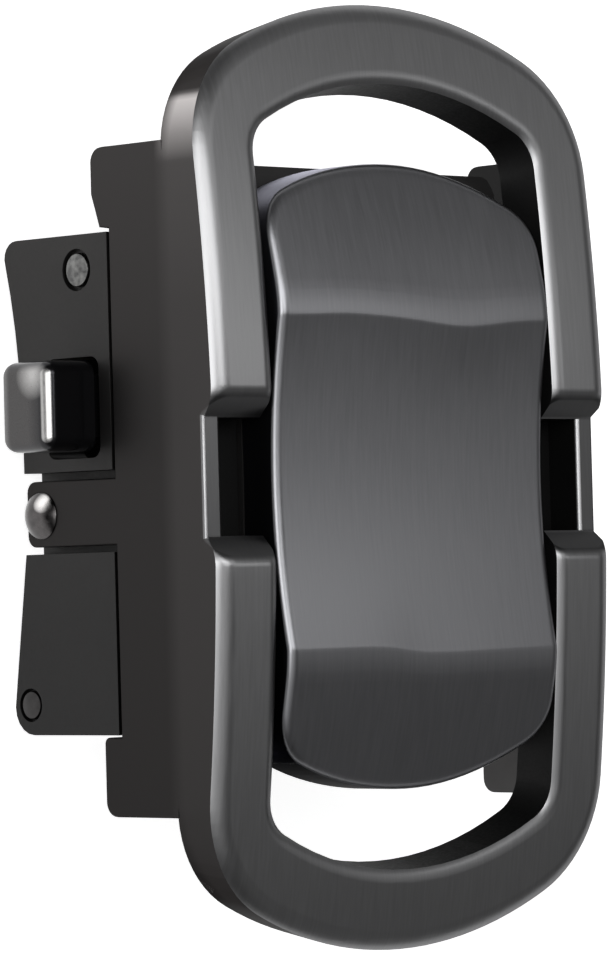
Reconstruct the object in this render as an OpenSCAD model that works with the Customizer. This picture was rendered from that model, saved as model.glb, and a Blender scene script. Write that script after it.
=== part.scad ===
// Ratchet belt buckle for a 35 mm strap.
// The buckle lies on its back: +Z is out of the face, +Y is its long axis towards the pawl end,
// and the release knob sticks out on the -X side.
// Inside the modules the middle of the face is at the origin, so depths behind the face are negative Z.

/* [Face ring] */
// Width of the face ring, and of the side walls behind it
ring_w = 39.2; // [39:0.1:40.5]
// Length of the face ring
ring_l = 68; // [66:0.1:72]
// Thickness of the face ring
ring_t = 3.9; // [3:0.1:5]
// Radius of the lengthwise bow of the face
bow_r = 194; // [150:1:400]
// Radius of the outer end arcs
end_r = 32.5; // [28:0.5:36]
// Radius of the outer corners
corner_r = 9.3; // [8:0.1:11]
// Width of the opening in the ring
opening_w = 28.2; // [26:0.1:29]
// Length of the opening in the ring
opening_l = 56.4; // [54:0.1:58]
// Radius of the opening's end arcs
opening_end_r = 27; // [24:0.5:32]
// Radius of the opening's corners
opening_corner_r = 2.9; // [2:0.1:4]

/* [Side notches] */
// Length of the rail that shows in each notch
rail_l = 8.3; // [6:0.1:12]
// Width of the rail that shows in each notch
rail_w = 1.75; // [1.4:0.05:2.2]
// Depth of the rail below the face
rail_drop = 1.65; // [1:0.05:2]
// Width of the bevel on the rail's outer edge
rail_bevel = 0.35; // [0.1:0.05:0.6]

/* [Side walls] */
// Length of the side walls
wall_l = 47.2; // [44:0.1:52]
// Thickness of the side walls
wall_t = 1.4; // [1.2:0.05:1.4]
// Depth of the walls' back edge beside the clip frame
wall_depth = 10.95; // [10.5:0.05:11.2]
// Depth of the flanges at the walls' ends
flange_depth = 12.75; // [12.5:0.05:14]
// Width of the riveted ear
ear_w = 4.7; // [4:0.1:5]
// Distance of the ear's middle line below the middle of the face
ear_y = 2.1; // [1.8:0.1:2.4]

/* [Floor plate] */
// Width of the floor plate behind the plaque
floor_w = 27.2; // [24:0.1:28]
// Thickness of the floor plate
floor_t = 1.5; // [1.2:0.1:2]
// Reach of the floor plate towards the pawl end
floor_top = 22.7; // [22:0.1:23]
// Reach of the floor plate towards the clamp end
floor_low = 20.4; // [18:0.1:21]

/* [Plaque] */
// Width of the plaque
plaque_w = 27; // [24:0.1:27.2]
// Length of the plaque
plaque_l = 44.2; // [42:0.1:46]
// Distance of the upper ridge from the middle of the face
ridge_top = 11.3; // [10:0.1:13]
// Distance of the lower ridge from the middle of the face
ridge_low = 12.2; // [10:0.1:13]
// Height of the ridges above the middle of the face
ridge_z = 0.2; // [0:0.05:0.6]
// Depth of the scoop between the ridges
scoop_depth = 1.15; // [0.6:0.05:1.6]

/* [Clip frame] */
// Depth of the cheeks' back edge next to the ear
cheek_depth = 20.7; // [20.3:0.1:21]
// Extra depth of the flared outer corners
flare = 1.6; // [0.5:0.1:1.8]
// Thickness of the cheeks and the strip behind them
cheek_t = 3.4; // [3:0.1:4]
// Step from the cheek's outer face in to the strip under the ear
strip_step = 1.65; // [1.6:0.05:2]
// Thickness of the back cover and of the clamp's base plate
plate_t = 1.2; // [1:0.1:1.6]

/* [Pawl and clamp] */
// Radius of the pawl's pin
pawl_pin_r = 1.2; // [1:0.05:1.3]
// Radius of the clamp's pin
clamp_pin_r = 1; // [0.8:0.05:1.1]
// Width of the release knob across the cheek
knob_w = 5; // [4:0.1:5.2]
// Length of the release knob along the cheek
knob_l = 6.4; // [5:0.1:6.8]
// Reach of the release knob out of the cheek
knob_out = 4.65; // [3:0.05:6]

/* [Hidden] */

// Clearances: between seated pieces, beside moving pieces, round a pressed pin and round a running pin
seat_gap = 0.08;
side_gap = 0.25;
press_gap = 0.02;
run_gap = 0.05;
// Overshoot of a cutting tool past the surface that it cuts
cut = 1;
// Fineness of the long bow and of the small rounds
bow_fn = 720;
round_fn = 48;
// Arc steps of the outlines and of the small corner rounds
arc_n = 10;
small_n = 5;
// Height of the blanks that an outline is cut from
tall = 60;

// Half sizes
half_w = ring_w / 2;
wall_in = half_w - wall_t;
wall_end = wall_l / 2;

// Side walls: rounds at the flange's corners and at the ear
flange_round = 1.05;
recess_round = 0.45;
recess_top = 17.8;
recess_low = 18;
ear_round = 0.8;
ear_depth = 20.5;
// The upper recess runs out in a slope: from and to along Y, and the depth where it starts
slope_y = [17.9, 20.3];
slope_start = 11.9;

// Floor plate: depth of its front face, reach and front face of the webs to the walls, corner round
floor_z = -4.2;
web_reach = 16;
web_z = -3.9;
floor_round = 0.8;

// Plaque: end arcs, corners, and the fall of its end sections
plaque_end_r = 29;
plaque_corner_r = 3;
fall_slope = 0.164;
fall_r = 67.6;
fall_steps = 6;
scoop_steps = 14;

// Clip frame: ends of the cheeks, front edge, corner rounds
cheek_front = -wall_depth - 0.2;
upper_from = 0.85;
upper_to = 17.6;
lower_from = 4.95;
lower_to = 17.85;
upper_corner_r = 1.3;
lower_corner_r = 2;
upper_flare_power = 2.4;
flare_steps = 6;
strip_out = half_w - strip_step;
strip_in = half_w - cheek_t;
channel_back = -12.45;
cover_from = -3.8;
base_from = -17.5;
base_to = -4.6;

// Pins: places in the side view as [y, z]
pawl_axis = [15.1, -14.45];
clamp_axis = [-15.7, -20.6];
rivet_axis = [-2.2, -18.95];
pin_recess = 0.2;
pawl_hole_r = 1.5;
clamp_hole_r = 1.2;
hole_recess = 0.45;

// Slot for the knob in the left cheek: from and to along Y, from and to in depth
slot_y = [1.75, 8.9];
slot_z = [-18, -12.35];
slot_round = 0.8;

// Pawl: half its width, barrel, reach to the tip, plate and teeth
pawl_half = strip_in - side_gap;
pawl_barrel_r = 2.1;
pawl_tip = 1.9;
pawl_plate_t = 1.8;
pawl_plate_z = -15;
tooth_n = 4;
tooth_pitch = 1.9;
tooth_h = 1.5;
teeth_from = 2;

// Knob: middle of its length, back face, corner round, stand-off from the cheek, and stem through the slot
knob_y = 5.4;
knob_back = -17.6;
knob_round = 0.9;
knob_stand = 0.2;
stem_y = [3.2, 7.6];
stem_z = [-15.4, -12.9];

// Clamp jaw: half its width, barrel, reach to the tip, plate and teeth
jaw_half = strip_in - side_gap;
jaw_barrel_r = 1.55;
jaw_tip = -4.3;
jaw_back = -21;
jaw_t = 1.7;
jaw_tooth_n = 5;
jaw_tooth_h = 1.1;
jaw_tooth_pitch = 1.5;
jaw_teeth_from = -11.8;

// Rivets
rivet_head_r = 1.7;
rivet_head_h = 0.85;
rivet_shank_r = 0.9;

// The box of the part is centred on the origin in X and Y, with its lowest point at Z = 0
centre_x = (knob_out - rivet_head_h) / 2;
face_z = cheek_depth + flare;

// Points of an arc about [x, y]
function arc(x, y, r, from, to, n = arc_n) =
    [for (i = [0:n]) let (a = from + (to - from) * i / n) [x + r * cos(a), y + r * sin(a)]];

// Outline with straight sides, round corners and flatter round ends
function oblong(w, l, er, cr) =
    let (cx = w / 2 - cr,
         ey = l / 2 - er,
         cy = ey + sqrt(pow(er - cr, 2) - cx * cx),
         a = atan2(cy - ey, cx))
    concat(arc(cx, cy, cr, 0, a), arc(0, ey, er, a, 180 - a), arc(-cx, cy, cr, 180 - a, 180),
           arc(-cx, -cy, cr, 180, 180 + a), arc(0, -ey, er, 180 + a, 360 - a),
           arc(cx, -cy, cr, 360 - a, 360));

// Rectangle with round corners, given by its two corners
function round_rect(lo, hi, r) =
    concat(arc(hi[0] - r, hi[1] - r, r, 0, 90, small_n), arc(lo[0] + r, hi[1] - r, r, 90, 180, small_n),
           arc(lo[0] + r, lo[1] + r, r, 180, 270, small_n), arc(hi[0] - r, lo[1] + r, r, 270, 360, small_n));

// Depth of the bowed face at a distance from its middle
function bow(y) = sqrt(bow_r * bow_r - y * y) - bow_r;

// Plaque's top: fall of an end section, and the scoop between the ridges
function fall(d) = ridge_z - fall_slope * d - d * d / (2 * fall_r);
scoop_mid = (ridge_top - ridge_low) / 2;
scoop_half = (ridge_top + ridge_low) / 2;
scoop_r = (scoop_half * scoop_half + scoop_depth * scoop_depth) / (2 * scoop_depth);
function scoop(y) = ridge_z - scoop_depth + scoop_r - sqrt(scoop_r * scoop_r - pow(y - scoop_mid, 2));

// Moves the shapes of a side view, drawn as [y, z], to X = from..to
module side_plate(from, to) {
    translate([from, 0, 0]) rotate([90, 0, 90]) linear_extrude(to - from) children();
}

// The same plate on both sides
module both_plates(from, to) {
    side_plate(from, to) children();
    side_plate(-to, -from) children();
}

// Cylinder across the part, at [y, z], from X = from to X = to
module cross_rod(at, r, from, to) {
    translate([from, at[0], at[1]]) rotate([0, 90, 0]) cylinder(h = to - from, r = r, $fn = round_fn);
}

// Slab that follows the bow, between two offsets from the face
module bowed_slab(front, back) {
    translate([0, 0, -bow_r]) rotate([0, 90, 0]) difference() {
        cylinder(h = ring_w + 2 * cut, r = bow_r + front, center = true, $fn = bow_fn);
        cylinder(h = ring_w + 4 * cut, r = bow_r + back, center = true, $fn = bow_fn);
    }
}

// Keeps of its children what lies between two bowed surfaces
module between_bows(front, back) {
    intersection() {
        bowed_slab(front, back);
        linear_extrude(tall, center = true) children();
    }
}

// Places every piece in the part's own frame
module placed() {
    translate([centre_x, 0, face_z]) children();
}

module ring_shape() {
    between_bows(0, -ring_t) difference() {
        polygon(oblong(ring_w, ring_l, end_r, corner_r));
        polygon(oblong(opening_w, opening_l, opening_end_r, opening_corner_r));
    }
}

// Wedge that opens a notch: sloped ends down to the rail, then straight through inside the rail
module notch_cut() {
    notch_in = opening_w / 2 - cut;
    slope_top = rail_l / 2 + rail_drop + cut;
    side_plate(notch_in, half_w + cut)
        polygon([[-slope_top, cut], [slope_top, cut], [rail_l / 2, -rail_drop], [-rail_l / 2, -rail_drop]]);
    side_plate(notch_in, half_w - rail_w)
        polygon([[-rail_l / 2, -rail_drop + cut / 2], [rail_l / 2, -rail_drop + cut / 2],
                 [rail_l / 2, -ring_t - cut], [-rail_l / 2, -ring_t - cut]]);
    translate([half_w, 0, -rail_drop]) rotate([0, 45, 0])
        cube([rail_bevel * sqrt(2), rail_l, rail_bevel * sqrt(2)], center = true);
}

// Side view of a wall with its flanges, its recess for the clip frame and its ear
module wall_view() {
    ear_top = -ear_y + ear_w / 2;
    ear_low = -ear_y - ear_w / 2;
    polygon(concat(
        [[-wall_end, -rail_drop + cut], [wall_end, -rail_drop + cut]],
        arc(wall_end - flange_round, -flange_depth + flange_round, flange_round, 360, 270, small_n),
        [[slope_y[1], -flange_depth], [slope_y[0], -slope_start], [recess_top, -wall_depth],
         [ear_top, -wall_depth]],
        arc(ear_top - ear_round, -ear_depth + ear_round, ear_round, 360, 270, small_n),
        arc(ear_low + ear_round, -ear_depth + ear_round, ear_round, 270, 180, small_n),
        [[ear_low, -wall_depth], [-recess_low, -wall_depth]],
        arc(-recess_low - recess_round, -flange_depth + recess_round, recess_round, 360, 270, small_n),
        arc(-wall_end + flange_round, -flange_depth + flange_round, flange_round, 270, 180, small_n)));
}

// Walls with their front edge on the bow, at the depth of the notch's rail
module walls() {
    intersection() {
        both_plates(wall_in, half_w) wall_view();
        bowed_slab(-rail_drop, -cheek_depth - flare - cut);
    }
    rail_fill();
}

// Narrow strip inside each wall that brings the rail to its full width
module rail_fill() {
    both_plates(half_w - rail_w, wall_in + seat_gap)
        polygon([[-rail_l / 2 - cut, -rail_drop], [rail_l / 2 + cut, -rail_drop],
                 [rail_l / 2 + cut, -ring_t], [-rail_l / 2 - cut, -ring_t]]);
}

// Floor plate: narrow at its ends, as wide as the space between the walls in the middle, where raised webs
// close the floor of the notches and meet the back of the ring's side bars
module floor_plate() {
    web_in = plaque_w / 2 + side_gap;
    web_w = wall_in + seat_gap - web_in;
    between_bows(floor_z, floor_z - floor_t) {
        polygon(round_rect([-floor_w / 2, -floor_low], [floor_w / 2, floor_top], floor_round));
        square([2 * (wall_in + seat_gap), 2 * web_reach], center = true);
    }
    between_bows(web_z, floor_z - floor_t / 2) {
        translate([web_in, -web_reach]) square([web_w, 2 * web_reach]);
        translate([-web_in - web_w, -web_reach]) square([web_w, 2 * web_reach]);
    }
}

module frame_casting() {
    placed() color("dimgray") difference() {
        union() {
            difference() {
                ring_shape();
                notch_cut();
                mirror([1, 0, 0]) notch_cut();
            }
            walls();
            floor_plate();
        }
        cross_rod(rivet_axis, rivet_shank_r + press_gap, -half_w - cut, half_w + cut);
    }
}

// Side view of the plaque: fallen ends, scooped middle, underside on the bow
module plaque_view() {
    reach = plaque_l / 2 + cut;
    under = floor_z + seat_gap;
    polygon(concat(
        [for (i = [fall_steps:-1:0]) let (d = (reach - ridge_low) * i / fall_steps)
            [-ridge_low - d, fall(d)]],
        [for (i = [1:scoop_steps - 1]) let (y = -ridge_low + 2 * scoop_half * i / scoop_steps)
            [y, scoop(y)]],
        [for (i = [0:fall_steps]) let (d = (reach - ridge_top) * i / fall_steps)
            [ridge_top + d, fall(d)]],
        [for (i = [0:scoop_steps]) let (y = reach - 2 * reach * i / scoop_steps) [y, under + bow(y)]]));
}

module plaque() {
    placed() color("slategray") intersection() {
        linear_extrude(tall, center = true)
            polygon(oblong(plaque_w, plaque_l, plaque_end_r, plaque_corner_r));
        side_plate(-half_w, half_w) plaque_view();
    }
}

// Side views of the two cheeks, with their flared back corners
module upper_cheek(front) {
    flare_to = upper_to - upper_corner_r;
    polygon(concat(
        [[upper_from, front], [upper_to, front]],
        arc(flare_to, -face_z + upper_corner_r, upper_corner_r, 360, 270, small_n),
        [for (i = [flare_steps - 1:-1:0]) let (t = i / flare_steps)
            [upper_from + (flare_to - upper_from) * t, -cheek_depth - flare * pow(t, upper_flare_power)]]));
}

module lower_cheek(front) {
    flare_to = lower_to - lower_corner_r;
    polygon(concat(
        [[-lower_to, front], [-lower_from, front], [-lower_from, -cheek_depth]],
        arc(-flare_to, -face_z + lower_corner_r, lower_corner_r, 270, 180, small_n)));
}

// Both cheeks on one side, from a given front edge
module cheeks(front) {
    upper_cheek(front);
    lower_cheek(front);
}

// Strip that joins the cheeks under the ear
module strip_view() {
    polygon([[-lower_from - cut, channel_back], [upper_from + cut, channel_back],
             [upper_from + cut, -cheek_depth], [-lower_from - cut, -cheek_depth]]);
}

// Plate across the inside of the frame, between two [y, z] corners
module cross_plate(lo, hi) {
    translate([-strip_in - seat_gap, lo[0], lo[1]])
        cube([2 * (strip_in + seat_gap), hi[0] - lo[0], hi[1] - lo[1]]);
}

module clip_frame() {
    placed() color("darkslategray") difference() {
        union() {
            both_plates(wall_in, half_w) cheeks(cheek_front);
            both_plates(strip_in, wall_in) cheeks(channel_back);
            both_plates(strip_in, strip_out) strip_view();
            cross_plate([cover_from, -cheek_depth], [upper_to, -cheek_depth + plate_t]);
            cross_plate([base_from, channel_back - plate_t], [base_to, channel_back]);
        }
        cross_rod(pawl_axis, pawl_pin_r + press_gap, -half_w - cut, half_w + cut);
        cross_rod(pawl_axis, pawl_hole_r, -half_w - cut, -half_w + hole_recess);
        cross_rod(pawl_axis, pawl_hole_r, half_w - hole_recess, half_w + cut);
        cross_rod(clamp_axis, clamp_pin_r + press_gap, -half_w - cut, half_w + cut);
        cross_rod(clamp_axis, clamp_hole_r, -half_w - cut, -half_w + hole_recess);
        cross_rod(clamp_axis, clamp_hole_r, half_w - hole_recess, half_w + cut);
        cross_rod(rivet_axis, rivet_shank_r + press_gap, -half_w - cut, half_w + cut);
        side_plate(-half_w - cut, -strip_in + cut)
            polygon(round_rect([slot_y[0], slot_z[0]], [slot_y[1], slot_z[1]], slot_round));
    }
}

// Side view of the pawl: plate from the barrel to the tip, with a row of ratchet teeth on its front
module pawl_view() {
    plate_front = pawl_plate_z + pawl_plate_t;
    polygon(concat(
        [[pawl_axis[0], pawl_plate_z], [pawl_axis[0], plate_front]],
        [for (i = [tooth_n - 1:-1:0]) let (y = teeth_from + tooth_pitch * i)
            each [[y + tooth_pitch, plate_front], [y, plate_front + tooth_h]]],
        [[pawl_tip, plate_front], [pawl_tip, pawl_plate_z]]));
}

module pawl_plate() {
    placed() color("silver") difference() {
        union() {
            side_plate(-pawl_half, pawl_half) pawl_view();
            cross_rod(pawl_axis, pawl_barrel_r, -pawl_half, pawl_half);
        }
        cross_rod(pawl_axis, pawl_pin_r + run_gap, -half_w, half_w);
    }
}

module release_knob() {
    knob_x = -half_w - knob_out;
    head_in = -half_w - knob_stand;
    inner_x = head_in + knob_round;
    knob_front = knob_back + knob_w;
    low_y = knob_y - knob_l / 2;
    high_y = knob_y + knob_l / 2;
    placed() color("black") {
        intersection() {
            side_plate(knob_x, head_in)
                polygon(round_rect([low_y, knob_back], [high_y, knob_front], knob_round));
            translate([0, 0, knob_back]) linear_extrude(knob_w)
                polygon(round_rect([knob_x, low_y], [inner_x, high_y], knob_round));
            translate([0, high_y, 0]) rotate([90, 0, 0]) linear_extrude(knob_l)
                polygon(round_rect([knob_x, knob_back], [inner_x, knob_front], knob_round));
        }
        translate([head_in - knob_stand, stem_y[0], stem_z[0]])
            cube([-pawl_half - head_in + knob_stand, stem_y[1] - stem_y[0], stem_z[1] - stem_z[0]]);
    }
}

module pawl_pin() {
    placed() color("lightgray") cross_rod(pawl_axis, pawl_pin_r, -half_w + pin_recess, half_w - pin_recess);
}

// Side view of the clamp jaw: plate from the barrel to the tip, with a row of gripping teeth on its front
module jaw_view() {
    jaw_front = jaw_back + jaw_t;
    polygon(concat(
        [[clamp_axis[0], jaw_back], [clamp_axis[0], jaw_front]],
        [for (i = [0:jaw_tooth_n - 1]) let (y = jaw_teeth_from + jaw_tooth_pitch * i)
            each [[y, jaw_front], [y + jaw_tooth_pitch / 2, jaw_front + jaw_tooth_h]]],
        [[jaw_teeth_from + jaw_tooth_pitch * jaw_tooth_n, jaw_front], [jaw_tip, jaw_front],
         [jaw_tip, jaw_back]]));
}

module clamp_jaw() {
    placed() color("silver") difference() {
        union() {
            side_plate(-jaw_half, jaw_half) jaw_view();
            cross_rod(clamp_axis, jaw_barrel_r, -jaw_half, jaw_half);
        }
        cross_rod(clamp_axis, clamp_pin_r + run_gap, -half_w, half_w);
    }
}

module clamp_pin() {
    placed() color("gray") cross_rod(clamp_axis, clamp_pin_r, -half_w + pin_recess, half_w - pin_recess);
}

// Rivet on the right: shank through the ear and the strip, and a domed head cut from a sphere
module rivet() {
    dome_r = (rivet_head_r * rivet_head_r + rivet_head_h * rivet_head_h) / (2 * rivet_head_h);
    cross_rod(rivet_axis, rivet_shank_r, strip_in, half_w + rivet_head_h / 2);
    intersection() {
        translate([half_w + rivet_head_h - dome_r, rivet_axis[0], rivet_axis[1]]) rotate([0, 90, 0])
            sphere(r = dome_r, $fn = round_fn);
        cross_rod(rivet_axis, rivet_head_r + cut, half_w + press_gap, half_w + rivet_head_h + cut);
    }
}

module rivet_left() {
    placed() color("darkgray") mirror([1, 0, 0]) rivet();
}

module rivet_right() {
    placed() color("darkgray") rivet();
}

frame_casting();
plaque();
clip_frame();
pawl_plate();
release_knob();
pawl_pin();
clamp_jaw();
clamp_pin();
rivet_left();
rivet_right();
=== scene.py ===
import math

import bmesh
import bpy
from mathutils import Matrix, Vector


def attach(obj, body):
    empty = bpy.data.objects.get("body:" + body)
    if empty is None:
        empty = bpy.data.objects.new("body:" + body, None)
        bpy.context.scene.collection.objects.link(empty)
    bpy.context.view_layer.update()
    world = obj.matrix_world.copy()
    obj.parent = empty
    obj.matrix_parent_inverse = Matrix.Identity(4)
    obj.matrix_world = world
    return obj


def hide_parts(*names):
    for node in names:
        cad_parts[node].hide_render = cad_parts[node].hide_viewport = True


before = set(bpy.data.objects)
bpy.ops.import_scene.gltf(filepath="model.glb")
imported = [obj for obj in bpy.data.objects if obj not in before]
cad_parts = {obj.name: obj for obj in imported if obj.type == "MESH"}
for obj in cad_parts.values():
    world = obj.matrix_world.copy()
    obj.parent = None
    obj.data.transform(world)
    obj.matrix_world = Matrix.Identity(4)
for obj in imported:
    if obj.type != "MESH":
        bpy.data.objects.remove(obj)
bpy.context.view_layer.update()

# The pieces are drawn in millimetres round the middle of the face, as in the CAD source, and then placed
PLACE = Matrix.Translation((0.0019, 0, 0.0223)) @ Matrix.Scale(0.001, 4)

# The sizes down to the pins are shared with the CAD source, in millimetres

# Face ring and its opening: half width, length, thickness, bow, end arcs and corners
HALF_W = 19.6
RING_L = 68
RING_T = 3.9
BOW_R = 194
RING_END_R = 32.5
RING_CORNER_R = 9.3
OPENING_W = 28.2
OPENING_L = 56.4
OPENING_END_R = 27
OPENING_CORNER_R = 2.9

# Rail that shows in each side notch: length, width and depth below the face
RAIL_L = 8.3
RAIL_W = 1.75
RAIL_DROP = 1.65

# Side walls: thickness, end, and the depths of the back edge, the flanges and the ears
WALL_T = 1.4
WALL_END = 23.6
WALL_BACK = 10.95
FLANGE_BACK = 12.75
EAR_BACK = 20.5

# Floor plate: height of its front, thickness, half width, and where it ends towards the clamp
FLOOR_Z = -4.2
FLOOR_T = 1.5
FLOOR_HALF_W = 13.6
FLOOR_LOW = -20.4

# Plaque: width, length, end arcs, corners, places and height of the ridges, and depth of the scoop
PLAQUE_W = 27
PLAQUE_L = 44.2
PLAQUE_END_R = 27
PLAQUE_CORNER_R = 3.8
RIDGE_TOP = 11.3
RIDGE_LOW = -12.2
RIDGE_Z = 0.2
SCOOP_DEPTH = 1.15

# Pins: places in the side view as (y, z), and radii
PAWL_AXIS = (15.1, -14.45)
CLAMP_AXIS = (-15.7, -20.6)
RIVET_AXIS = (-2.2, -18.95)
PAWL_PIN_R = 1.2
CLAMP_PIN_R = 1.0

# Rolled edges of the ring, width and radius: outer and inner
OUTER_EDGE = (1.5, 2.3)
INNER_EDGE = (1.0, 1.6)

# Length over which the ridges round over, and how much longer the plaque's full ends make it
RIDGE_ROUND = 2.4
FULLER_ENDS = 0.6

# The wall keeps this far inside the ring's side, and reaches this far into the ring's back
WALL_INSET = 0.015
WALL_BITE = 0.06

# Places closer than this are the same, and the slack in looser tests of a place
SAME = 0.001
SLACK = 0.01


# Outlines

def arc(cx, cy, r, start, end, steps):
    """Points of an arc about (cx, cy), angles in degrees."""
    turns = [math.radians(start + (end - start) * i / steps) for i in range(steps + 1)]
    return [(cx + r * math.cos(a), cy + r * math.sin(a)) for a in turns]


def oblong_quarter(w, length, end_r, corner_r, steps=12):
    """Points from the straight right side round the upper right corner to the middle of the upper end."""
    cx = w / 2 - corner_r
    ey = length / 2 - end_r
    cy = ey + math.sqrt((end_r - corner_r) ** 2 - cx * cx)
    turn = math.degrees(math.atan2(cy - ey, cx))
    return arc(cx, cy, corner_r, 0, turn, steps)[:-1] + arc(0, ey, end_r, turn, 90, steps)


def upper_half(quarter):
    """The quarter and its mirror image, from the right side to the left side."""
    return quarter + [(-x, y) for x, y in reversed(quarter[:-1])]


def bow(y):
    """Depth of the bowed face at a distance from its middle."""
    return math.sqrt(BOW_R * BOW_R - y * y) - BOW_R


# Mesh helpers

def prism(bm, points, push):
    """Closed prism from a flat outline, pushed along a vector."""
    base = bm.faces.new([bm.verts.new(p) for p in points])
    grown = bmesh.ops.extrude_face_region(bm, geom=[base], use_keep_orig=True)["geom"]
    top = [g for g in grown if isinstance(g, bmesh.types.BMVert)]
    bmesh.ops.translate(bm, verts=top, vec=push)
    bmesh.ops.recalc_face_normals(bm, faces=bm.faces)


def box(bm, centre, size):
    """Box from its middle and its three sizes."""
    verts = bmesh.ops.create_cube(bm, size=1)["verts"]
    bmesh.ops.scale(bm, verts=verts, vec=size)
    bmesh.ops.translate(bm, verts=verts, vec=centre)


def side_prism(bm, outline, start, end):
    """Prism across the part from a side view outline of (y, z) points."""
    prism(bm, [(start, y, z) for y, z in outline], (end - start, 0, 0))


def turned(points, at):
    """Body turned about an axis across the part, from (x, radius) points and its (y, z) place."""
    bm = bmesh.new()
    line = [bm.verts.new((x, r, 0)) for x, r in points]
    edges = [bm.edges.new(pair) for pair in zip(line, line[1:])]
    bmesh.ops.spin(bm, geom=line + edges, cent=(0, 0, 0), axis=(1, 0, 0), dvec=(0, 0, 0),
                   angle=math.tau, steps=40, use_merge=True, use_duplicate=False)
    bmesh.ops.remove_doubles(bm, verts=bm.verts, dist=1e-4)
    bmesh.ops.recalc_face_normals(bm, faces=bm.faces)
    bmesh.ops.translate(bm, verts=bm.verts, vec=(0, *at))
    return bm


def soften(bm, width, steps, chosen):
    """Rounds the edges whose two ends pass the test, and gives back what it made."""
    edges = [e for e in bm.edges if chosen(*(v.co for v in e.verts))]
    return bmesh.ops.bevel(bm, geom=edges, offset=width, offset_type="OFFSET", segments=steps, profile=0.5,
                           affect="EDGES", clamp_overlap=False, material=-1)


def roll_edge(bm, width, radius, steps, chosen):
    """Rolls the front's edges over in part of an arc that meets the side at a crisp line."""
    for v in soften(bm, width, steps, chosen)["verts"]:
        fall = min(max(1 + v.co.z / width, 0), 1)
        across = width * math.sqrt(1 - fall * fall)
        v.co.z = math.sqrt(radius * radius - across * across) - radius


def slice_along(bm, places, axis):
    """Cuts the mesh across an axis, 0 to 2 for X to Z, so that it can follow a curve."""
    direction = Vector([float(i == axis) for i in range(3)])
    for place in places:
        bmesh.ops.bisect_plane(bm, geom=bm.verts[:] + bm.edges[:] + bm.faces[:],
                               plane_co=direction * place, plane_no=direction, dist=1e-5)


def lay_on_bow(bm):
    """Lays a flat piece on the bowed face, square to it."""
    for v in bm.verts:
        lean = v.co.y / BOW_R
        z = v.co.z
        v.co.z = bow(v.co.y) + z * math.sqrt(1 - lean * lean)
        v.co.y += z * lean


def steps_between(start, end, count):
    """Evenly spaced values from start to end, both with them."""
    return [start + (end - start) * i / count for i in range(count + 1)]


def make_piece(bm, name, body, material, stands_for=(), place=PLACE, sharp=32, more=()):
    """Turns a bmesh into a finished piece that rides on its body; more materials follow the first."""
    bmesh.ops.transform(bm, matrix=place, verts=bm.verts)
    mesh = bpy.data.meshes.new(name)
    bm.to_mesh(mesh)
    bm.free()
    mesh.shade_smooth()
    mesh.set_sharp_from_angle(angle=math.radians(sharp))
    for each in (material, *more):
        mesh.materials.append(each)
    piece = bpy.data.objects.new(name, mesh)
    bpy.context.scene.collection.objects.link(piece)
    even = piece.modifiers.new("even_shading", "WEIGHTED_NORMAL")
    even.keep_sharp = True
    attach(piece, body)
    if stands_for:
        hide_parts(*stands_for)
    return piece


# Materials

BLACK = (0.0, 0.0, 0.0)

# Values of a noise between which it takes a tone from its lowest to its highest: wide and narrow
NOISE = (0.3, 0.7)
NARROW_NOISE = (0.35, 0.65)

# Heights of the seam between wall and ring, and of the painted shade on the knob's outer face, in metres
SEAM_Z = (0.0163, 0.0178)
KNOB_SHADE_Z = (0.0076, 0.0092)

# Distances from the middle of the notch where its rail and its sloped ends stop, in metres, which bound the
# painted shade there
RAIL_SHADE_STOP = (0.004, 0.0043)
SLOPE_SHADE_STOP = (0.0055, 0.0059)

# Directions of the knob's painted corner highlight and of the rivet's painted highlight spot, and place of
# the knob's painted highlight spot
KNOB_CORNER = (-0.766, 0, 0.643)
RIVET_GLEAM = (-0.84, 0.42, 0.33)
KNOB_GLEAM = (-0.0223, 0.0076, 0.0082)


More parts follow.
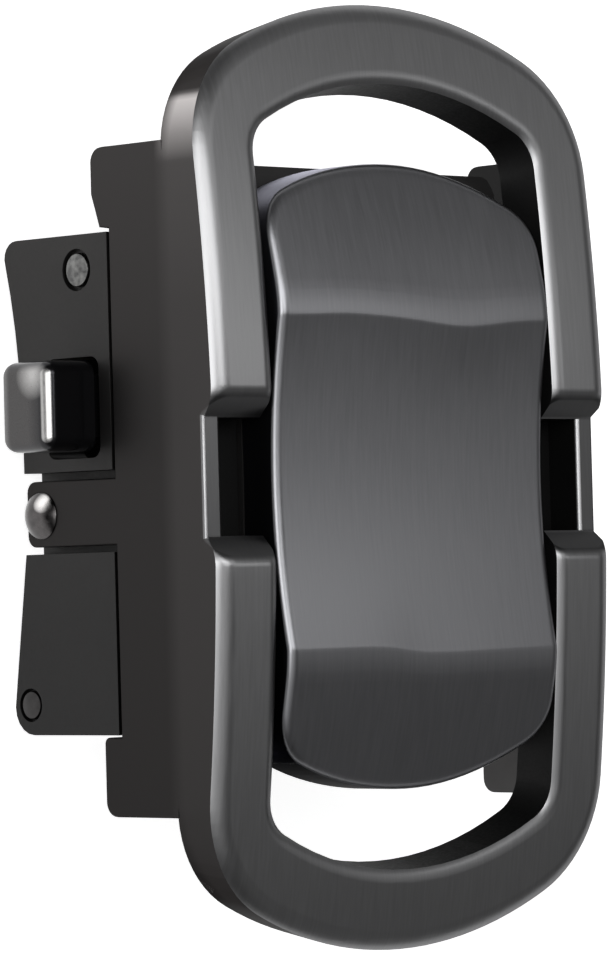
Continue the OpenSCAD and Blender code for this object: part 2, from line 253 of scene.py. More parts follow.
class Finish:
    """A node material under construction."""

    def __init__(self, name):
        self.material = bpy.data.materials.new(name)
        self.material.use_nodes = True
        self.tree = self.material.node_tree
        self.shader = self.tree.nodes["Principled BSDF"]
        self.place = self.tree.nodes.new("ShaderNodeTexCoord")

    def node(self, kind, **settings):
        """A new node with its settings."""
        made = self.tree.nodes.new(kind)
        for key, value in settings.items():
            setattr(made, key, value)
        return made

    def link(self, output, socket):
        """Joins an output to a socket."""
        self.tree.links.new(output, socket)

    def noise(self, stretch, detail=2.0, rough=0.5):
        """Noise in object space; stretch is features per metre along X, Y and Z."""
        mapping = self.node("ShaderNodeMapping")
        mapping.inputs["Scale"].default_value = stretch
        self.link(self.place.outputs["Object"], mapping.inputs["Vector"])
        noise = self.node("ShaderNodeTexNoise")
        noise.inputs["Scale"].default_value = 1.0
        noise.inputs["Detail"].default_value = detail
        noise.inputs["Roughness"].default_value = rough
        self.link(mapping.outputs["Vector"], noise.inputs["Vector"])
        return noise.outputs["Fac"]

    def span(self, source, low, high, start=0.0, end=1.0):
        """Maps a value from one span to another."""
        span = self.node("ShaderNodeMapRange")
        span.inputs["From Min"].default_value = start
        span.inputs["From Max"].default_value = end
        span.inputs["To Min"].default_value = low
        span.inputs["To Max"].default_value = high
        self.link(source, span.inputs["Value"])
        return span.outputs["Result"]

    def mix_colour(self, factor, first, second):
        """Colour between two others, each a plain colour or an output."""
        mix = self.node("ShaderNodeMix", data_type="RGBA")
        for socket, value in ((mix.inputs["A"], first), (mix.inputs["B"], second)):
            if isinstance(value, tuple):
                socket.default_value = (*value, 1)
            else:
                self.link(value, socket)
        self.link(factor, mix.inputs["Factor"])
        return mix.outputs["Result"]

    def mix_value(self, factor, first, second):
        """Value between two others, each a plain number or an output."""
        mix = self.node("ShaderNodeMix", data_type="FLOAT")
        for socket, value in ((mix.inputs["A"], first), (mix.inputs["B"], second)):
            if isinstance(value, float):
                socket.default_value = value
            else:
                self.link(value, socket)
        self.link(factor, mix.inputs["Factor"])
        return mix.outputs["Result"]

    def along(self, axis, kind="Object"):
        """Place along X, Y or Z of the whole part in metres, or that part of the surface normal."""
        parts = self.node("ShaderNodeSeparateXYZ")
        self.link(self.place.outputs[kind], parts.inputs["Vector"])
        return parts.outputs[axis]

    def vector_value(self, operation, kind, second=(0, 0, 0)):
        """Length of the place, its distance from a point, or the normal's part along a direction."""
        made = self.node("ShaderNodeVectorMath", operation=operation)
        self.link(self.place.outputs[kind], made.inputs[0])
        made.inputs[1].default_value = second
        return made.outputs["Value"]

    def calculate(self, operation, first, second=0.0):
        """Result of one operation on numbers or outputs."""
        made = self.node("ShaderNodeMath", operation=operation)
        for socket, value in zip(made.inputs, (first, second)):
            if isinstance(value, float):
                socket.default_value = value
            else:
                self.link(value, socket)
        return made.outputs["Value"]

    def tones(self, source, stops):
        """Grey value that follows a list of (place, value) stops."""
        low, high = stops[0][0], stops[-1][0]
        ramp = self.node("ShaderNodeValToRGB")
        self.link(self.span(source, 0.0, 1.0, low, high), ramp.inputs["Fac"])
        points = ramp.color_ramp.elements
        for _ in stops[2:]:
            points.new(0.5)
        for point, (place, value) in zip(points, stops):
            point.position = (place - low) / (high - low)
            point.color = (value, value, value, 1)
        return ramp.outputs["Color"]

    def tinted(self, tone, tint):
        """Grey tone times a colour."""
        mix = self.node("ShaderNodeMix", data_type="RGBA", blend_type="MULTIPLY")
        mix.inputs["Factor"].default_value = 1.0
        self.link(tone, mix.inputs["A"])
        mix.inputs["B"].default_value = (*tint, 1)
        return mix.outputs["Result"]

    def bump(self, height, strength, distance):
        """Fine relief from a noise; distance is its depth in metres."""
        bump = self.node("ShaderNodeBump")
        bump.inputs["Strength"].default_value = strength
        bump.inputs["Distance"].default_value = distance
        self.link(height, bump.inputs["Height"])
        self.link(bump.outputs["Normal"], self.shader.inputs["Normal"])


def notch_painted_shade(f, front):
    """Painted shade on the notch's rail and sloped ends, which darkens the face's own tone; the rail's
    outward-facing round keeps the full tone as a painted highlight line.
    """
    away = f.calculate("ABSOLUTE", f.along("Y"))
    slope_shade = f.span(f.along("X"), 0.37, 0.24, 0.0, 0.002)
    rail = f.span(f.along("X", "Normal"), 5.0, 0.6, -0.4, -0.12)
    past_rail = f.mix_value(f.span(away, 0.0, 1.0, *SLOPE_SHADE_STOP), slope_shade, 1.0)
    tone = f.mix_value(f.span(away, 0.0, 1.0, *RAIL_SHADE_STOP), rail, past_rail)
    return f.mix_colour(tone, BLACK, front)


def brushed_metal(name, face, side, side_tint, wall=None):
    """Plated metal: fine brush lines along Y on the front, and a matte side whose tone follows the length,
    painting light and shade along it; inward-facing surfaces of the opening are darkened as painted shade,
    and with a wall the notch gets its painted shade.
    """
    f = Finish(name)
    fine = f.noise((4600.0, 280.0, 200.0), 3.0, 0.6)
    front = f.tinted(f.span(fine, 0.94, 1.06, *NOISE), face)
    inward = f.calculate("ADD", f.calculate("MULTIPLY", f.along("X", "Normal"), f.along("X")),
                         f.calculate("MULTIPLY", f.along("Y", "Normal"), f.along("Y")))
    # Inward-facing surfaces of the opening darken towards black: painted shade
    inward_shade = f.span(inward, 0.1, 1.0, -0.006, -0.001)
    sides = f.mix_colour(inward_shade, BLACK, f.tones(f.along("Y"), side))
    if wall:
        on_ring = f.span(f.along("Z"), 0.0, 1.0, *SEAM_Z)
        sides = f.mix_colour(on_ring, f.tones(f.along("Y"), wall), sides)
        # The notch's rail and sloped ends get their painted shade
        front = notch_painted_shade(f, front)
    facing_up = f.span(f.along("Z", "Normal"), 0.0, 1.0, 0.12, 0.5)
    f.link(f.mix_colour(facing_up, f.tinted(sides, side_tint), front), f.shader.inputs["Base Color"])
    f.shader.inputs["Metallic"].default_value = 1.0
    f.shader.inputs["Specular Tint"].default_value = (0.35, 0.35, 0.35, 1)
    f.link(f.mix_value(facing_up, 0.46, f.span(fine, 0.3, 0.345, *NOISE)), f.shader.inputs["Roughness"])
    f.bump(fine, 0.01, 0.00002)
    return f.material


def matte_metal(name, along, tint, roughness):
    """Dark plated sheet metal with a fine even grain; its tone follows the length, painting light and shade
    along it.
    """
    f = Finish(name)
    grain = f.noise((4200.0, 4200.0, 4200.0), 3.0)
    cloud = f.noise((160.0, 160.0, 160.0), 2.0)
    tone = f.calculate("MULTIPLY", f.tones(f.along("Y"), along), f.span(cloud, 0.92, 1.12, *NARROW_NOISE))
    f.link(f.tinted(tone, tint), f.shader.inputs["Base Color"])
    f.shader.inputs["Metallic"].default_value = 0.55
    f.shader.inputs["Specular IOR Level"].default_value = 0.35
    f.link(f.span(grain, roughness - 0.05, roughness + 0.07, *NOISE), f.shader.inputs["Roughness"])
    f.bump(grain, 0.08, 0.00002)
    return f.material


def gloss_black(name, colour, outer, knob_highlight):
    """Glossy black plating, greyer on the outer face, with painted shade on that face towards the front, a
    painted highlight on its front outer corner and a painted highlight spot.
    """
    f = Finish(name)
    outward = f.span(f.along("X", "Normal"), 1.0, 0.0, -0.97, -0.6)
    corner_highlight = f.span(f.vector_value("DOT_PRODUCT", "Normal", KNOB_CORNER), 0.0, 1.0, 0.9, 0.998)
    gleam = f.span(f.vector_value("DISTANCE", "Object", KNOB_GLEAM), 0.5, 0.0, 0.0002, 0.0018)
    scuff = f.noise((2600.0, 2600.0, 2600.0), 4.0)
    # Painted shade: the outer face darkens towards the front
    shade = f.mix_colour(f.span(f.along("Z"), 0.0, 1.0, *KNOB_SHADE_Z), outer, colour)
    plain = f.mix_colour(outward, colour, f.mix_colour(gleam, shade, knob_highlight))
    f.link(f.mix_colour(corner_highlight, plain, knob_highlight), f.shader.inputs["Base Color"])
    f.shader.inputs["Metallic"].default_value = 0.8
    f.link(f.mix_value(outward, f.span(scuff, 0.14, 0.22, *NOISE), f.span(scuff, 0.2, 0.3, *NOISE)),
           f.shader.inputs["Roughness"])
    f.bump(scuff, 0.04, 0.00002)
    return f.material


def cut_steel(name, colour, lighter, roughness, pit, lumpy=0.5, highlight_colour=None):
    """Bare steel with a rough, lumpy surface, and a painted highlight spot on its crown if a highlight colour
    is given.
    """
    f = Finish(name)
    lumps = f.noise((1500.0, 1500.0, 1500.0), 3.0)
    tone = f.mix_colour(f.span(lumps, 0.0, 1.0, *NARROW_NOISE), colour, lighter)
    if highlight_colour:
        gleam = f.span(f.vector_value("DOT_PRODUCT", "Normal", RIVET_GLEAM), 0.0, 1.0, 0.93, 0.998)
        tone = f.mix_colour(gleam, tone, highlight_colour)
    f.link(tone, f.shader.inputs["Base Color"])
    f.shader.inputs["Metallic"].default_value = 1.0
    f.link(f.span(lumps, roughness - 0.08, roughness + 0.1, *NOISE), f.shader.inputs["Roughness"])
    f.bump(lumps, lumpy, pit)
    return f.material


# Greys along the length, which paint light and shade: place along Y in metres, and grey
# Ring's outer side: painted light, darker towards the lower end, with a painted highlight band near the upper
# corners and a painted sheen at the upper end
RING_SIDE_LIGHT = ((-0.034, 0.045), (-0.024, 0.034), (-0.014, 0.038), (0.012, 0.046), (0.018, 0.055), (0.022, 0.06),
             (0.024, 0.22), (0.0264, 0.5), (0.0269, 0.05), (0.0325, 0.035), (0.034, 0.12))
# Walls' outer side: painted light, lighter towards the upper end
WALL_SIDE_LIGHT = ((-0.024, 0.025), (0.002, 0.03), (0.024, 0.043))
# Walls' inner faces: painted shade, darkest towards the upper end
WALL_INSIDE_SHADE = ((-0.03, 0.06), (-0.012, 0.03), (0.014, 0.004), (0.03, 0.003))
# Clip plates: painted shade, darker towards the lower end
CLIP_SHADE = ((-0.02, 0.003), (0.002, 0.01), (0.02, 0.016))
# Plaque's sides: painted reflection, bright near the upper end and dark at the lower end
PLAQUE_SIDE_REFLECTION = ((-0.022, 0.008), (-0.012, 0.02), (0.008, 0.04), (0.0185, 0.1), (0.0205, 0.4), (0.0218, 0.8))
# Floor plate: near black as painted shade, a little lighter towards the upper end
FLOOR_SHADE = ((-0.022, 0.02), (0.022, 0.03))
# Pockets, the opening's walls and the webs: near black as painted shade
POCKET_SHADE = ((-0.022, 0.004), (0.022, 0.005))

# Tints and plain colours of the metals
WARM_RING = (1.0, 0.95, 0.94)
WARM_INSIDE = (1.0, 0.97, 0.96)
WARM_CLIP = (1.0, 0.94, 0.92)
# Bluish tint of the plaque's sides: painted reflection
PLAQUE_REFLECTION_TINT = (0.95, 0.95, 1.1)
NO_TINT = (1.0, 1.0, 1.0)
# Colour of the rivet's painted highlight spot
RIVET_GLINT_COLOUR = (0.8, 0.78, 0.77)

ring_metal = brushed_metal("ring_brushed", (0.295, 0.295, 0.3), RING_SIDE_LIGHT, WARM_RING, WALL_SIDE_LIGHT)
plaque_metal = brushed_metal("plaque_brushed", (0.258, 0.259, 0.271), PLAQUE_SIDE_REFLECTION, PLAQUE_REFLECTION_TINT)
floor_shade_metal = matte_metal("floor_plate_shade", FLOOR_SHADE, WARM_INSIDE, 0.4)
wall_shade_metal = matte_metal("wall_inside_shade", WALL_INSIDE_SHADE, WARM_INSIDE, 0.4)
pocket_shade_metal = matte_metal("pocket_shade", POCKET_SHADE, NO_TINT, 0.6)
clip_metal = matte_metal("clip_matte", CLIP_SHADE, WARM_CLIP, 0.42)
# The knob's last colour is its painted highlight
knob_metal = gloss_black("knob_black", (0.018, 0.018, 0.02), (0.055, 0.053, 0.053), (0.68, 0.67, 0.66))
pawl_metal = cut_steel("pawl_satin", (0.34, 0.34, 0.35), (0.44, 0.44, 0.45), 0.34, 0.00001)
pin_metal = cut_steel("pin_rough", (0.06, 0.06, 0.06), (0.17, 0.17, 0.166), 0.3, 0.00012)
dark_pin_metal = cut_steel("dark_pin_matte", (0.03, 0.029, 0.029), (0.045, 0.043, 0.043), 0.4, 0.00003)
rivet_metal = cut_steel("rivet_painted_glint", (0.06, 0.057, 0.057), (0.085, 0.08, 0.08), 0.2, 0.00002,
                        0.12, RIVET_GLINT_COLOUR)


# Frame casting: face ring, side walls and floor plate

def face_ring():
    """The bowed ring in two halves, with the sloped ends of the side notches."""
    outer = upper_half(oblong_quarter(2 * HALF_W, RING_L, RING_END_R, RING_CORNER_R))
    inner = upper_half(oblong_quarter(OPENING_W, OPENING_L, OPENING_END_R, OPENING_CORNER_R, 8))
    slope_top = RAIL_L / 2 + RAIL_DROP
    bm = bmesh.new()
    for side in (1, -1):
        outline = [(HALF_W, slope_top), *outer, (-HALF_W, slope_top)]
        outline += [(-OPENING_W / 2, slope_top), *reversed(inner), (OPENING_W / 2, slope_top)]
        prism(bm, [(x, side * y, 0) for x, y in outline], (0, 0, -RING_T))
    inner_points = {(round(x, 3), round(abs(y), 3)) for x, y in inner}
    inner_points |= {(x, round(slope_top, 3)) for x in (OPENING_W / 2, -OPENING_W / 2)}

    def on_face(v, inside):
        return v.z > -SAME and ((round(v.x, 3), round(abs(v.y), 3)) in inner_points) == inside

    def at_end(v):
        return abs(abs(v.y) - slope_top) < SAME

    def beside_slope(a, b):
        in_notch = max(abs(a.y), abs(b.y)) < slope_top - 0.1
        return in_notch and min(abs(a.x), abs(b.x)) > HALF_W - SLACK and abs(a.y - b.y) > 0.3

    for inside, edge in ((False, OUTER_EDGE), (True, INNER_EDGE)):
        roll_edge(bm, *edge, 8, lambda a, b: on_face(a, inside) and on_face(b, inside)
                  and not (at_end(a) and at_end(b)))
    slice_along(bm, [-RAIL_DROP], 2)
    # The front rolls over into the slope of each end
    turn = math.radians(45)
    roll_r = 1.3
    reach = roll_r * math.sin(turn)
    start = slope_top - roll_r * (1 - math.cos(turn)) + reach
    steps = steps_between(slope_top, start, 6)[1:]
    slice_along(bm, steps + [-y for y in steps], 1)
    for v in bm.verts:
        if abs(v.co.y) < start + SAME and v.co.z > -RAIL_DROP + SLACK:
            t = min((start - abs(v.co.y)) / (start - slope_top), 1)
            v.co.y = math.copysign(start - (reach - v.co.z) * t, v.co.y)
            v.co.z -= roll_r - math.sqrt(roll_r ** 2 - (reach * t) ** 2)
        elif at_end(v.co):
            v.co.y -= math.copysign(RAIL_DROP, v.co.y)
    soften(bm, 0.4, 4, beside_slope)
    slice_along(bm, steps_between(-RING_L / 2, RING_L / 2, RING_L), 1)
    lay_on_bow(bm)
    return bm


def wall_outline():
    """Side view of a wall from inside the ring back, with the notch's rail, flanges, recess and ear."""
    steps = 6
    ear_top, ear_low, ear_r = 0.25, -4.45, 0.8
    flange_r, small_r = 1.05, 0.45
    bend, step_z, post, low_flange = 22.3, -2.6, RAIL_L / 2 + 0.5, -18
    recess_slope = [(20.3, -FLANGE_BACK), (19.0, -12.3), (17.95, -11.95), (17.8, -WALL_BACK)]

    def in_ring(y):
        return y, WALL_BITE - RING_T + bow(y)

    return ([in_ring(-WALL_END), in_ring(-bend), (-bend + 1, step_z), (-post, step_z), (-post, -RAIL_DROP),
             (post, -RAIL_DROP), (post, step_z), (bend - 1, step_z), in_ring(bend), in_ring(WALL_END)]
            + arc(WALL_END - flange_r, -FLANGE_BACK + flange_r, flange_r, 0, -90, steps)
            + recess_slope + [(ear_top, -WALL_BACK)]
            + arc(ear_top - ear_r, -EAR_BACK + ear_r, ear_r, 0, -90, steps)
            + arc(ear_low + ear_r, -EAR_BACK + ear_r, ear_r, 270, 180, steps)
            + [(ear_low, -WALL_BACK), (low_flange, -WALL_BACK)]
            + arc(low_flange - small_r, -FLANGE_BACK + small_r, small_r, 0, -90, steps)
            + arc(-WALL_END + flange_r, -FLANGE_BACK + flange_r, flange_r, 270, 180, steps))


def side_wall(side):
    """One wall with its flanges and its ear, and the outer part of the notch's rail."""
    bm = bmesh.new()
    inner, outer = HALF_W - WALL_T, HALF_W - WALL_INSET
    side_prism(bm, wall_outline(), *sorted((side * inner, side * outer)))
    slice_along(bm, (-6, 6), 1)
    soften(bm, 0.14, 3, lambda a, b: abs(a.x - b.x) < SLACK and max(a.z, b.z) < -6)
    # The ends draw in a little, where the ring's corners turn
    for v in bm.verts:
        if abs(v.co.y) > WALL_END - 0.2 and abs(v.co.x) > outer - SLACK:
            v.co.x -= side * 0.09
    rail_top = -RAIL_DROP - SLACK
    soften(bm, 0.3, 3, lambda a, b: min(a.z, b.z) > rail_top and min(abs(a.x), abs(b.x)) > outer - SLACK)
    return bm


def rail_strip(side):
    """Strip inside the wall, rounded towards the pocket."""
    bm = bmesh.new()
    low, high = HALF_W - RAIL_W, HALF_W - WALL_T + 0.4
    deep = 3
    box(bm, (side * (low + high) / 2, 0, -RAIL_DROP - deep / 2), (high - low, RAIL_L + 1, deep))
    soften(bm, 0.42, 4, lambda a, b: min(a.z, b.z) > -RAIL_DROP - SLACK
           and max(abs(a.x), abs(b.x)) < low + SLACK)
    return bm


def joined(parts):
    """Closed shapes united into one mesh without inner faces."""
    merge = 0.002
    objects = []
    for index, bm in enumerate(parts):
        mesh = bpy.data.meshes.new(f"cast_{index}")
        bm.to_mesh(mesh)
        bm.free()
        made = bpy.data.objects.new(f"cast_{index}", mesh)
        bpy.context.scene.collection.objects.link(made)
        objects.append(made)
    whole = objects[0]
    for other in objects[1:]:
        unite = whole.modifiers.new("unite", "BOOLEAN")
        unite.operation, unite.solver, unite.object = "UNION", "EXACT", other
    bpy.context.view_layer.update()
    evaluated = whole.evaluated_get(bpy.context.evaluated_depsgraph_get())
    bm = bmesh.new()
    bm.from_mesh(evaluated.to_mesh())
    evaluated.to_mesh_clear()
    for made in objects:
        bpy.data.objects.remove(made)
    bmesh.ops.remove_doubles(bm, verts=bm.verts, dist=merge)
    bmesh.ops.dissolve_degenerate(bm, dist=merge, edges=bm.edges)
    return bm


def frame_casting():
    """Ring and side walls as one casting, with painted shade on the pockets, the opening's walls and the
    walls' inner faces.
    """
    parts = [face_ring()]
    for side in (1, -1):
        parts += [side_wall(side), rail_strip(side)]
    bm = joined(parts)
    between_walls = HALF_W - WALL_T + 0.1
    # Faces in the opening and the pockets take the near-black painted shade; the walls' inner faces take the
    # walls' painted shade
    for face in bm.faces:
        at, normal = face.calc_center_median(), face.normal
        x, y = abs(at.x), abs(at.y)
        in_opening = x < OPENING_W / 2 + 0.3 and y < OPENING_L / 2 + 0.3
        in_pocket = x < between_walls and y < 6
        if abs(normal.z) < 0.3 and (in_opening or in_pocket):
            face.material_index = 1
        elif at.x * normal.x < 0 and abs(normal.x) > 0.9 and x < between_walls:
            face.material_index = 2
    bmesh.ops.dissolve_limit(bm, angle_limit=math.radians(0.05), verts=bm.verts, edges=bm.edges,
                             delimit={"MATERIAL"})
    spare = [v for v in bm.verts if len(v.link_edges) == 2 and v.calc_edge_angle() < 0.03]
    bmesh.ops.dissolve_verts(bm, verts=spare)
    return make_piece(bm, "ring_and_walls", "buckle", ring_metal, ["frame_casting"],
                      more=(pocket_shade_metal, wall_shade_metal))


def floor_plate():
    """Plate behind the plaque, with its stepped upper lip and the raised webs beside the notches."""
    layers = []
    cut, step = 0.8, 0.25
    for inset, reach, rise in ((0, 22.7, -0.3), (0.01, 22.42, -0.15), (0.02, 22.14, 0)):
        half, low = FLOOR_HALF_W - inset, FLOOR_LOW + inset
        outline = [(half, low), (half, reach - cut), (half - step, reach - step), (half - cut, reach),
                   (-half + cut, reach), (-half + step, reach - step), (-half, reach - cut), (-half, low)]
        layer = bmesh.new()
        prism(layer, [(x, y, FLOOR_Z + rise) for x, y in outline], (0, 0, inset - FLOOR_T - rise))
        layers.append(layer)
    bm = joined(layers)
    slice_along(bm, steps_between(-22, 22, 22), 1)
    web_from, web_w, web_l, web_top, web_low = FLOOR_HALF_W + 0.15, 4.45, 32, -3.9, -5.7
    for side in (1, -1):
        centre = (side * (web_from + web_w / 2), 0, (web_top + web_low) / 2)
        box(bm, centre, (web_w, web_l, web_top - web_low))
    lay_on_bow(bm)
    # The webs beside the notches take the near-black painted shade
    for face in bm.faces:
        face.material_index = int(abs(face.calc_center_median().x) > FLOOR_HALF_W + 0.05)
    return make_piece(bm, "floor_plate", "buckle", floor_shade_metal, more=[pocket_shade_metal])


# Plaque

def ridge_wave(x, y):
    """Slight waver of the two hand-finished ridge lines along Y, which fades away from them."""
    # The upper line has a small rise on the left and a broad dip right of the middle
    if y > 0:
        wave = 0.17 * math.exp(-((x + 7) / 3.5) ** 2) - 0.58 * math.exp(-((x - 4.6) / 4.6) ** 2) - 0.04
        return wave * math.exp(-((y - RIDGE_TOP) / 4) ** 2)
    # The lower line steps down left of the middle and then rises slowly
    wave = 0.1 - 0.58 / (1 + math.exp(-(x + 2.2) / 0.9)) + 0.017 * max(x - 3, 0)
    return wave * math.exp(-((y - RIDGE_LOW) / 4) ** 2)


def plaque_top(y):
    """Height of the plaque's front along its length: fallen ends and a scooped middle."""
    fall_slope, fall_r = 0.164, 67.6
    if y > RIDGE_TOP or y < RIDGE_LOW:
        past = y - RIDGE_TOP if y > 0 else RIDGE_LOW - y
        rounded = RIDGE_ROUND * (1 - max(1 - past / RIDGE_ROUND, 0) ** 2) / 2
        return RIDGE_Z - fall_slope * (past - rounded) - past * past / (2 * fall_r)
    middle, half = (RIDGE_TOP + RIDGE_LOW) / 2, (RIDGE_TOP - RIDGE_LOW) / 2
    r = (half * half + SCOOP_DEPTH * SCOOP_DEPTH) / (2 * SCOOP_DEPTH)
    return RIDGE_Z - SCOOP_DEPTH + r - math.sqrt(r * r - (y - middle) ** 2)


def plaque():
    """Scooped plate with softly rolled edges, two ridges and full ends that lean a little to one side."""
    quarter = oblong_quarter(PLAQUE_W, PLAQUE_L + FULLER_ENDS, PLAQUE_END_R, PLAQUE_CORNER_R, 10)
    half = upper_half(quarter)
    outline = half + [(x, -y) for x, y in reversed(half)]
    thick, edge_w, edge_flat = 4.0, 0.8, 0.6
    bm = bmesh.new()
    prism(bm, [(x, y, 0) for x, y in outline], (0, 0, -thick))
    soften(bm, edge_w, 6, lambda a, b: min(a.z, b.z) > -SLACK)
    for v in bm.verts:
        if v.co.z > -edge_w - SLACK:
            v.co.z *= edge_flat
    end, half_across, gap = 22, 12.6, 0.9
    beside_ridge = (-0.22, -0.07, 0.07, 0.3, 0.6, 1.2, 1.5, 1.8, 2.1, 2.4)
    places = steps_between(-end, RIDGE_LOW - gap, 12) + steps_between(RIDGE_LOW + gap, RIDGE_TOP - gap, 34)
    places += steps_between(RIDGE_TOP + gap, end, 12)
    for ridge in (RIDGE_LOW, RIDGE_TOP):
        outward = math.copysign(1, ridge)
        places += [ridge + outward * d for d in beside_ridge]
    slice_along(bm, sorted(places), 1)
    slice_along(bm, steps_between(-half_across, half_across, 14), 0)
    for v in bm.verts:
        near_end = math.exp(-((end - abs(v.co.y)) / 4) ** 2)
        shift = -0.0026 * v.co.x * abs(v.co.x) * near_end * math.copysign(1, v.co.y)
        if v.co.z > -thick + 0.1:
            v.co.z += plaque_top(v.co.y)
            v.co.y += ridge_wave(v.co.x, v.co.y)
        else:
            v.co.z = FLOOR_Z + 0.08 + bow(v.co.y)
        v.co.y += shift
    return make_piece(bm, "plaque_shell", "buckle", plaque_metal, ["plaque"], sharp=50)


# Clip frame and the pieces on its pins

def dressed(node, name, body, material, width, steps=2):
    """The CAD solid, in metres, with its loose triangles merged and its outer edges rounded."""
    bend, shortest = math.radians(40), 4e-5
    bm = bmesh.new()
    bm.from_mesh(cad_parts[node].data)
    bmesh.ops.remove_doubles(bm, verts=bm.verts, dist=2e-6)
    bmesh.ops.dissolve_limit(bm, angle_limit=math.radians(1.5), verts=bm.verts, edges=bm.edges)
    edges = [e for e in bm.edges if e.is_manifold and e.is_convex and e.calc_face_angle() > bend
             and e.calc_length() > shortest]
    bmesh.ops.bevel(bm, geom=edges, offset=width, offset_type="OFFSET", segments=steps, profile=0.5,
                    affect="EDGES", clamp_overlap=True, material=-1)
    return make_piece(bm, name, body, material, [node], Matrix.Identity(4))


def knob():
    """Release knob: a block with a broad round towards the front and a short stem into the slot."""
    out_x, in_x = -HALF_W - 4.65, -HALF_W - 0.2
    low_y, high_y, back_z, front_z = 2.2, 8.6, -17.6, -12.6
    corner_r, back_fullness = 1.0, 0.65
    bm = bmesh.new()
    box(bm, ((in_x + out_x) / 2, (low_y + high_y) / 2, (back_z + front_z) / 2),
        (in_x - out_x, high_y - low_y, front_z - back_z))
    soften(bm, corner_r, 8, lambda a, b: min(a.x, b.x) < out_x + SLACK or abs(a.x - b.x) > 1)
    # The outer face's round gets smaller towards the back
    for v in bm.verts:
        height = min(v.co.z - back_z, corner_r)
        if v.co.x < out_x + corner_r:
            v.co.x = out_x + (v.co.x - out_x) * (1 - back_fullness * (1 - height))
    stem = bmesh.new()
    box(stem, (in_x + 1.75, 5.4, -14.15), (3.9, 4.4, 2.5))
    return make_piece(joined([bm, stem]), "knob_block", "pawl", knob_metal, ["release_knob"])


def round_pin(name, at, radius, body, material, node, dome):
    """Pin across the part with slightly domed ends."""
    half = HALF_W - 0.05
    end = [(half + dome, 0), (half + dome * 0.8, radius * 0.45), (half + dome * 0.35, radius * 0.8),
           (half, radius * 0.95), (half - 0.12, radius)]
    bm = turned(end + [(-x, r) for x, r in reversed(end)], at)
    return make_piece(bm, name, body, material, [node])


def rivet(side, name, node):
    """Domed rivet with a thin rim, and its shank through the ear."""
    face, rim_r, shank_r, shank_end = HALF_W + 0.02, 1.7, 0.9, 16.2
    dome = [(0.83, 0), (0.78, 0.5), (0.62, 0.95), (0.4, 1.3), (0.2, 1.55), (0.1, 1.66), (0.04, rim_r),
            (0, rim_r - 0.02)]
    points = [(face + x, r) for x, r in dome] + [(face, shank_r), (shank_end, shank_r), (shank_end, 0)]
    bm = turned([(side * x, r) for x, r in points], RIVET_AXIS)
    return make_piece(bm, name, "buckle", rivet_metal, [node])


frame_casting()
floor_plate()
plaque()
dressed("clip_frame", "clip_plates", "buckle", clip_metal, 0.00014)
dressed("pawl_plate", "pawl_teeth", "pawl", pawl_metal, 0.0001)
dressed("clamp_jaw", "jaw_teeth", "jaw", pawl_metal, 0.0001)
knob()
round_pin("pawl_pin_end", PAWL_AXIS, PAWL_PIN_R, "buckle", pin_metal, "pawl_pin", 0.15)
round_pin("clamp_pin_end", CLAMP_AXIS, CLAMP_PIN_R, "buckle", dark_pin_metal, "clamp_pin", 0.1)
rivet(-1, "rivet_head_left", "rivet_left")
rivet(1, "rivet_head_right", "rivet_right")


# Floor, light and camera

def studio_floor():
    """Pale floor with a painted glow, stronger near the buckle than in the distance, which washes out the
    shade round the buckle and runs on into the backdrop.
    """
    bm = bmesh.new()
    bmesh.ops.create_grid(bm, x_segments=1, y_segments=1, size=2.5)
    mesh = bpy.data.meshes.new("studio_floor")
    bm.to_mesh(mesh)
    bm.free()
    floor = bpy.data.objects.new("studio_floor", mesh)
    bpy.context.scene.collection.objects.link(floor)
    f = Finish("pale_floor")
    f.shader.inputs["Base Color"].default_value = (0.9, 0.9, 0.9, 1)
    f.shader.inputs["Roughness"].default_value = 0.9
    f.shader.inputs["Specular IOR Level"].default_value = 0.1
    f.shader.inputs["Emission Color"].default_value = (1, 1, 1, 1)
    distance = f.vector_value("LENGTH", "Object")
    # Painted glow: strongest near the buckle, weaker further out
    f.link(f.span(distance, 0.85, 0.6, 0.07, 0.5), f.shader.inputs["Emission Strength"])
    mesh.materials.append(f.material)


# Soft panels of the studio: direction, degrees to where the glow is full, degrees to its end, and glow
SKY = (((0.69, 0.08, 0.72), 2, 21, 0.31),
       ((0.62, 0.5, 0.6), 4, 32, 0.15),
       ((0.62, -0.52, 0.58), 4, 30, 0.085),
       ((-0.45, 0.0, 0.89), 5, 50, 0.6),
       ((-0.69, 0.05, 0.72), 1, 20, 1.9),
       ((0, 0, -1), 90, 106, 0.9))

# Glow of the surroundings where there is no panel
SKY_BASE = 0.055

# Small lamps close to the buckle, in millimetres: name, place, where it looks, size, and glow
LAMPS = (("edge_lamp", (-66, 34, 93), (-19, 8, 0), (86, 38), 3.1),
         ("far_lamp", (-15, 34, 104), (17, 8, 0), (44, 50), 3.2),
         ("roll_lamp", (34, 45, 104), (-19, 12, 0), (46, 50), 0.7),
         ("face_lamp", (70, 20, 95), (-17, 10, 0), (26, 40), 0.9))


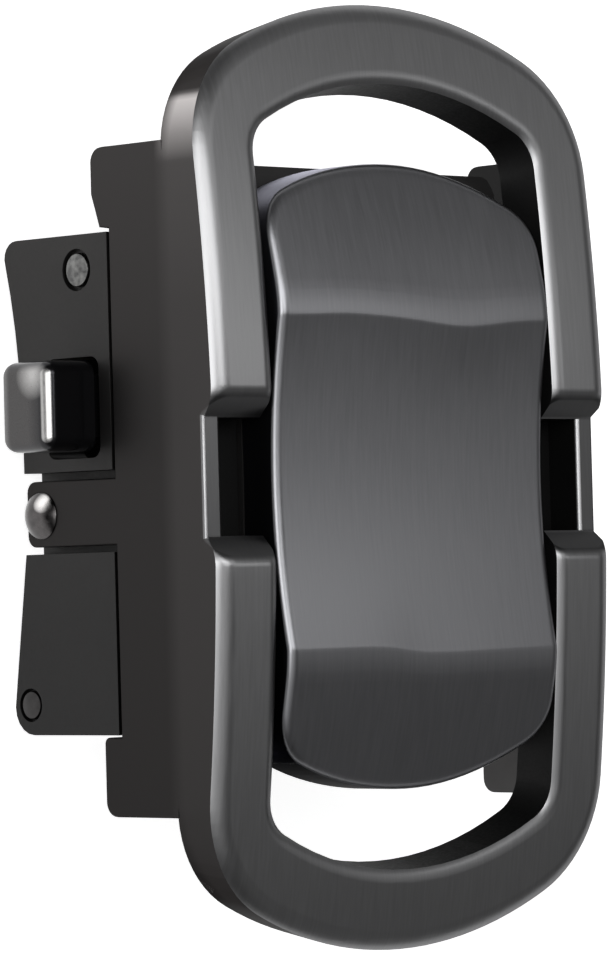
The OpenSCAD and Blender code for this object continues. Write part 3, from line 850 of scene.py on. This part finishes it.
def studio_world():
    """Even dim surroundings plus the soft panels."""
    world = bpy.data.worlds.new("studio")
    world.use_nodes = True
    tree = world.node_tree
    place = tree.nodes.new("ShaderNodeTexCoord")
    total = None
    for direction, near, far, glow in SKY:
        aim = tree.nodes.new("ShaderNodeVectorMath")
        aim.operation = "DOT_PRODUCT"
        aim.inputs[1].default_value = Vector(direction).normalized()
        tree.links.new(place.outputs["Generated"], aim.inputs[0])
        fade = tree.nodes.new("ShaderNodeMapRange")
        fade.interpolation_type = "SMOOTHSTEP"
        fade.inputs["From Min"].default_value = math.cos(math.radians(far))
        fade.inputs["From Max"].default_value = math.cos(math.radians(near))
        fade.inputs["To Max"].default_value = glow
        tree.links.new(aim.outputs["Value"], fade.inputs["Value"])
        add = tree.nodes.new("ShaderNodeMath")
        add.operation = "ADD"
        tree.links.new(fade.outputs["Result"], add.inputs[0])
        add.inputs[1].default_value = SKY_BASE
        if total:
            tree.links.new(total, add.inputs[1])
        total = add.outputs["Value"]
    tree.nodes["Background"].inputs["Color"].default_value = (1, 1, 1, 1)
    tree.links.new(total, tree.nodes["Background"].inputs["Strength"])
    bpy.context.scene.world = world
    bpy.context.scene.view_settings.view_transform = "Standard"


def near_lamp(name, place, aim, size, glow):
    """Soft box close to the buckle; places in millimetres round the middle of the face."""
    data = bpy.data.lights.new(name, "AREA")
    data.shape = "RECTANGLE"
    data.size, data.size_y = (side / 1000 for side in size)
    data.energy = glow * math.pi * data.size * data.size_y
    lamp = bpy.data.objects.new(name, data)
    bpy.context.scene.collection.objects.link(lamp)
    lamp.visible_camera = False
    lamp.location = PLACE @ Vector(place)
    lamp.rotation_mode = "QUATERNION"
    lamp.rotation_quaternion = (Vector(aim) - Vector(place)).to_track_quat("-Z", "Y")


# Camera fitted to the photograph: turn, tip and roll in degrees
CAMERA_ANGLES = (43.5, -1.236, -1.555)

# Point that the camera looks at and its lens, in millimetres, and its distance in metres
CAMERA_AIM = (-11.484, -0.249, 0)
CAMERA_LENS = 195.26
CAMERA_DISTANCE = 0.362737


def photo_camera():
    """Camera at the photograph's angle, with the buckle's long axis upright in the picture."""
    turn, tip, roll = (math.radians(a) for a in CAMERA_ANGLES)
    back = Vector((-math.sin(turn) * math.cos(tip), math.sin(tip), math.cos(turn) * math.cos(tip)))
    level = Vector((0, 1, 0)).cross(back).normalized()
    rise = back.cross(level)
    right = level * math.cos(roll) + rise * math.sin(roll)
    up = rise * math.cos(roll) - level * math.sin(roll)
    target = PLACE @ Vector(CAMERA_AIM)
    data = bpy.data.cameras.new("photo_camera")
    data.lens = CAMERA_LENS
    data.sensor_width = 36
    data.sensor_fit = "AUTO"
    data.clip_start, data.clip_end = 0.01, 10
    camera = bpy.data.objects.new("photo_camera", data)
    bpy.context.scene.collection.objects.link(camera)
    facing = Matrix((right, up, back)).transposed().to_4x4()
    camera.matrix_world = Matrix.Translation(target + back * CAMERA_DISTANCE) @ facing
    bpy.context.scene.camera = camera


studio_floor()
studio_world()
for lamp in LAMPS:
    near_lamp(*lamp)
photo_camera()
